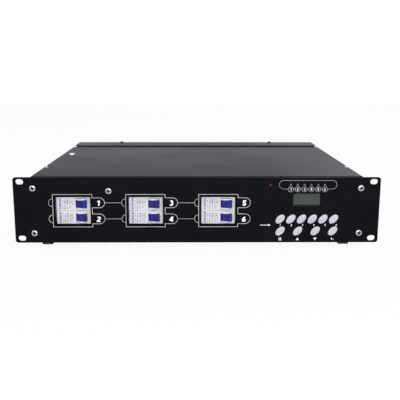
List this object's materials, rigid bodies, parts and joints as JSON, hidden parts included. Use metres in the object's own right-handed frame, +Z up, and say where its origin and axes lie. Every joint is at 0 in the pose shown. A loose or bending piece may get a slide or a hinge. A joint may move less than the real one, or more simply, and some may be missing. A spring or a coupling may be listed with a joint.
{
  "type": "rack dimmer pack",
  "caption": "Two-unit rack dimmer pack with circuit breakers behind panel windows, a display, push buttons, a sheet-metal case on feet and rear cable glands.",
  "frame": {"origin": "middle of the ground that the pack covers, at the bottoms of the feet", "axes": "+X to the right seen from the front, +Y to the back, +Z up"},
  "size_m": [0.4826, 0.4152, 0.0987],
  "materials": {
    "case_paint": "fine black powder coat",
    "cover_paint": "fine black powder coat that catches the light",
    "breaker_housing": "white moulded thermoplastic",
    "breaker_lever": "blue moulded plastic",
    "button_plastic": "pale grey moulded plastic",
    "black_plastic": "black moulded nylon",
    "foot_rubber": "black moulded rubber",
    "zinc_steel": "bright zinc plate",
    "aluminium": "plain extrusion",
    "circuit_board": "green solder mask",
    "display_glass": "clear",
    "display_module": "grey-green display face in a dark frame",
    "light_clear": "diffused lens",
    "light_red": "diffused red lens",
    "winding": "lacquered copper wire",
    "nickel_shell": "satin nickel plate"
  },
  "bodies": {
    "case": {"chassis_tray": "case_paint", "top_cover": "cover_paint", "service_cover": "cover_paint", "front_panel": "case_paint", "cover_bolt": "zinc_steel", "panel_screw_1": "zinc_steel", "panel_screw_2": "zinc_steel", "panel_screw_3": "zinc_steel", "panel_screw_4": "zinc_steel", "panel_screw_5": "zinc_steel", "breaker_body_1": "breaker_housing", "breaker_body_2": "breaker_housing", "breaker_body_3": "breaker_housing", "breaker_body_4": "breaker_housing", "breaker_body_5": "breaker_housing", "breaker_body_6": "breaker_housing", "din_rail_1": "zinc_steel", "din_rail_2": "zinc_steel", "din_rail_3": "zinc_steel", "breaker_bracket": "zinc_steel", "control_board": "circuit_board", "display_lens": "display_glass", "display_module": "display_module", "channel_lights": "light_clear", "status_light": "light_red", "foot_front_left": "foot_rubber", "foot_front_right": "foot_rubber", "foot_rear_left": "foot_rubber", "foot_rear_right": "foot_rubber", "mains_gland": "black_plastic", "output_gland_1": "black_plastic", "output_gland_2": "black_plastic", "output_gland_3": "black_plastic", "signal_inlet": "nickel_shell", "signal_outlet": "nickel_shell", "fan_frame": "black_plastic", "earth_stud": "zinc_steel", "heat_sink": "aluminium", "power_board": "circuit_board", "control_transformer": "winding", "choke_bank": "winding", "terminal_strip": "black_plastic"},
    "lever_1": {"breaker_lever_1": "breaker_lever"},
    "lever_2": {"breaker_lever_2": "breaker_lever"},
    "lever_3": {"breaker_lever_3": "breaker_lever"},
    "lever_4": {"breaker_lever_4": "breaker_lever"},
    "lever_5": {"breaker_lever_5": "breaker_lever"},
    "lever_6": {"breaker_lever_6": "breaker_lever"},
    "channel_key_1": {"channel_button_1": "button_plastic"},
    "channel_key_2": {"channel_button_2": "button_plastic"},
    "channel_key_3": {"channel_button_3": "button_plastic"},
    "channel_key_4": {"channel_button_4": "button_plastic"},
    "channel_key_5": {"channel_button_5": "button_plastic"},
    "channel_key_6": {"channel_button_6": "button_plastic"},
    "menu_key": {"menu_button": "button_plastic"},
    "up_key": {"up_button": "button_plastic"},
    "down_key": {"down_button": "button_plastic"},
    "back_key": {"back_button": "button_plastic"},
    "outlet_latch": {"signal_outlet_latch": "zinc_steel"},
    "rotor": {"fan_rotor": "black_plastic"}
  },
  "joints": [
    {"name": "lever_1_switch", "type": "hinge", "parent": "case", "child": "lever_1", "pos_m": [-0.1536, -0.19165, 0.0599], "axis": [0, 0, 1], "range_deg": [-48, 0]},
    {"name": "lever_2_switch", "type": "hinge", "parent": "case", "child": "lever_2", "pos_m": [-0.1536, -0.19165, 0.0417], "axis": [0, 0, 1], "range_deg": [-48, 0]},
    {"name": "lever_3_switch", "type": "hinge", "parent": "case", "child": "lever_3", "pos_m": [-0.0576, -0.19165, 0.0599], "axis": [0, 0, 1], "range_deg": [-48, 0]},
    {"name": "lever_4_switch", "type": "hinge", "parent": "case", "child": "lever_4", "pos_m": [-0.0576, -0.19165, 0.0417], "axis": [0, 0, 1], "range_deg": [-48, 0]},
    {"name": "lever_5_switch", "type": "hinge", "parent": "case", "child": "lever_5", "pos_m": [0.0384, -0.19165, 0.0599], "axis": [0, 0, 1], "range_deg": [-48, 0]},
    {"name": "lever_6_switch", "type": "hinge", "parent": "case", "child": "lever_6", "pos_m": [0.0384, -0.19165, 0.0417], "axis": [0, 0, 1], "range_deg": [-48, 0]},
    {"name": "channel_1_press", "type": "slide", "parent": "case", "child": "channel_key_1", "axis": [0, 1, 0], "range_m": [0, 0.0008], "stiffness_N_per_m": 1000},
    {"name": "channel_2_press", "type": "slide", "parent": "case", "child": "channel_key_2", "axis": [0, 1, 0], "range_m": [0, 0.0008], "stiffness_N_per_m": 1000},
    {"name": "channel_3_press", "type": "slide", "parent": "case", "child": "channel_key_3", "axis": [0, 1, 0], "range_m": [0, 0.0008], "stiffness_N_per_m": 1000},
    {"name": "channel_4_press", "type": "slide", "parent": "case", "child": "channel_key_4", "axis": [0, 1, 0], "range_m": [0, 0.0008], "stiffness_N_per_m": 1000},
    {"name": "channel_5_press", "type": "slide", "parent": "case", "child": "channel_key_5", "axis": [0, 1, 0], "range_m": [0, 0.0008], "stiffness_N_per_m": 1000},
    {"name": "channel_6_press", "type": "slide", "parent": "case", "child": "channel_key_6", "axis": [0, 1, 0], "range_m": [0, 0.0008], "stiffness_N_per_m": 1000},
    {"name": "menu_press", "type": "slide", "parent": "case", "child": "menu_key", "axis": [0, 1, 0], "range_m": [0, 0.0008], "stiffness_N_per_m": 1000},
    {"name": "up_press", "type": "slide", "parent": "case", "child": "up_key", "axis": [0, 1, 0], "range_m": [0, 0.0008], "stiffness_N_per_m": 1000},
    {"name": "down_press", "type": "slide", "parent": "case", "child": "down_key", "axis": [0, 1, 0], "range_m": [0, 0.0008], "stiffness_N_per_m": 1000},
    {"name": "back_press", "type": "slide", "parent": "case", "child": "back_key", "axis": [0, 1, 0], "range_m": [0, 0.0008], "stiffness_N_per_m": 1000},
    {"name": "outlet_latch_press", "type": "slide", "parent": "case", "child": "outlet_latch", "axis": [0, -1, 0], "range_m": [0, 0.001], "stiffness_N_per_m": 1500},
    {"name": "fan_spin", "type": "hinge", "parent": "case", "child": "rotor", "pos_m": [0.165, 0.17035, 0.052], "axis": [0, 1, 0], "continuous": true}
  ]
}
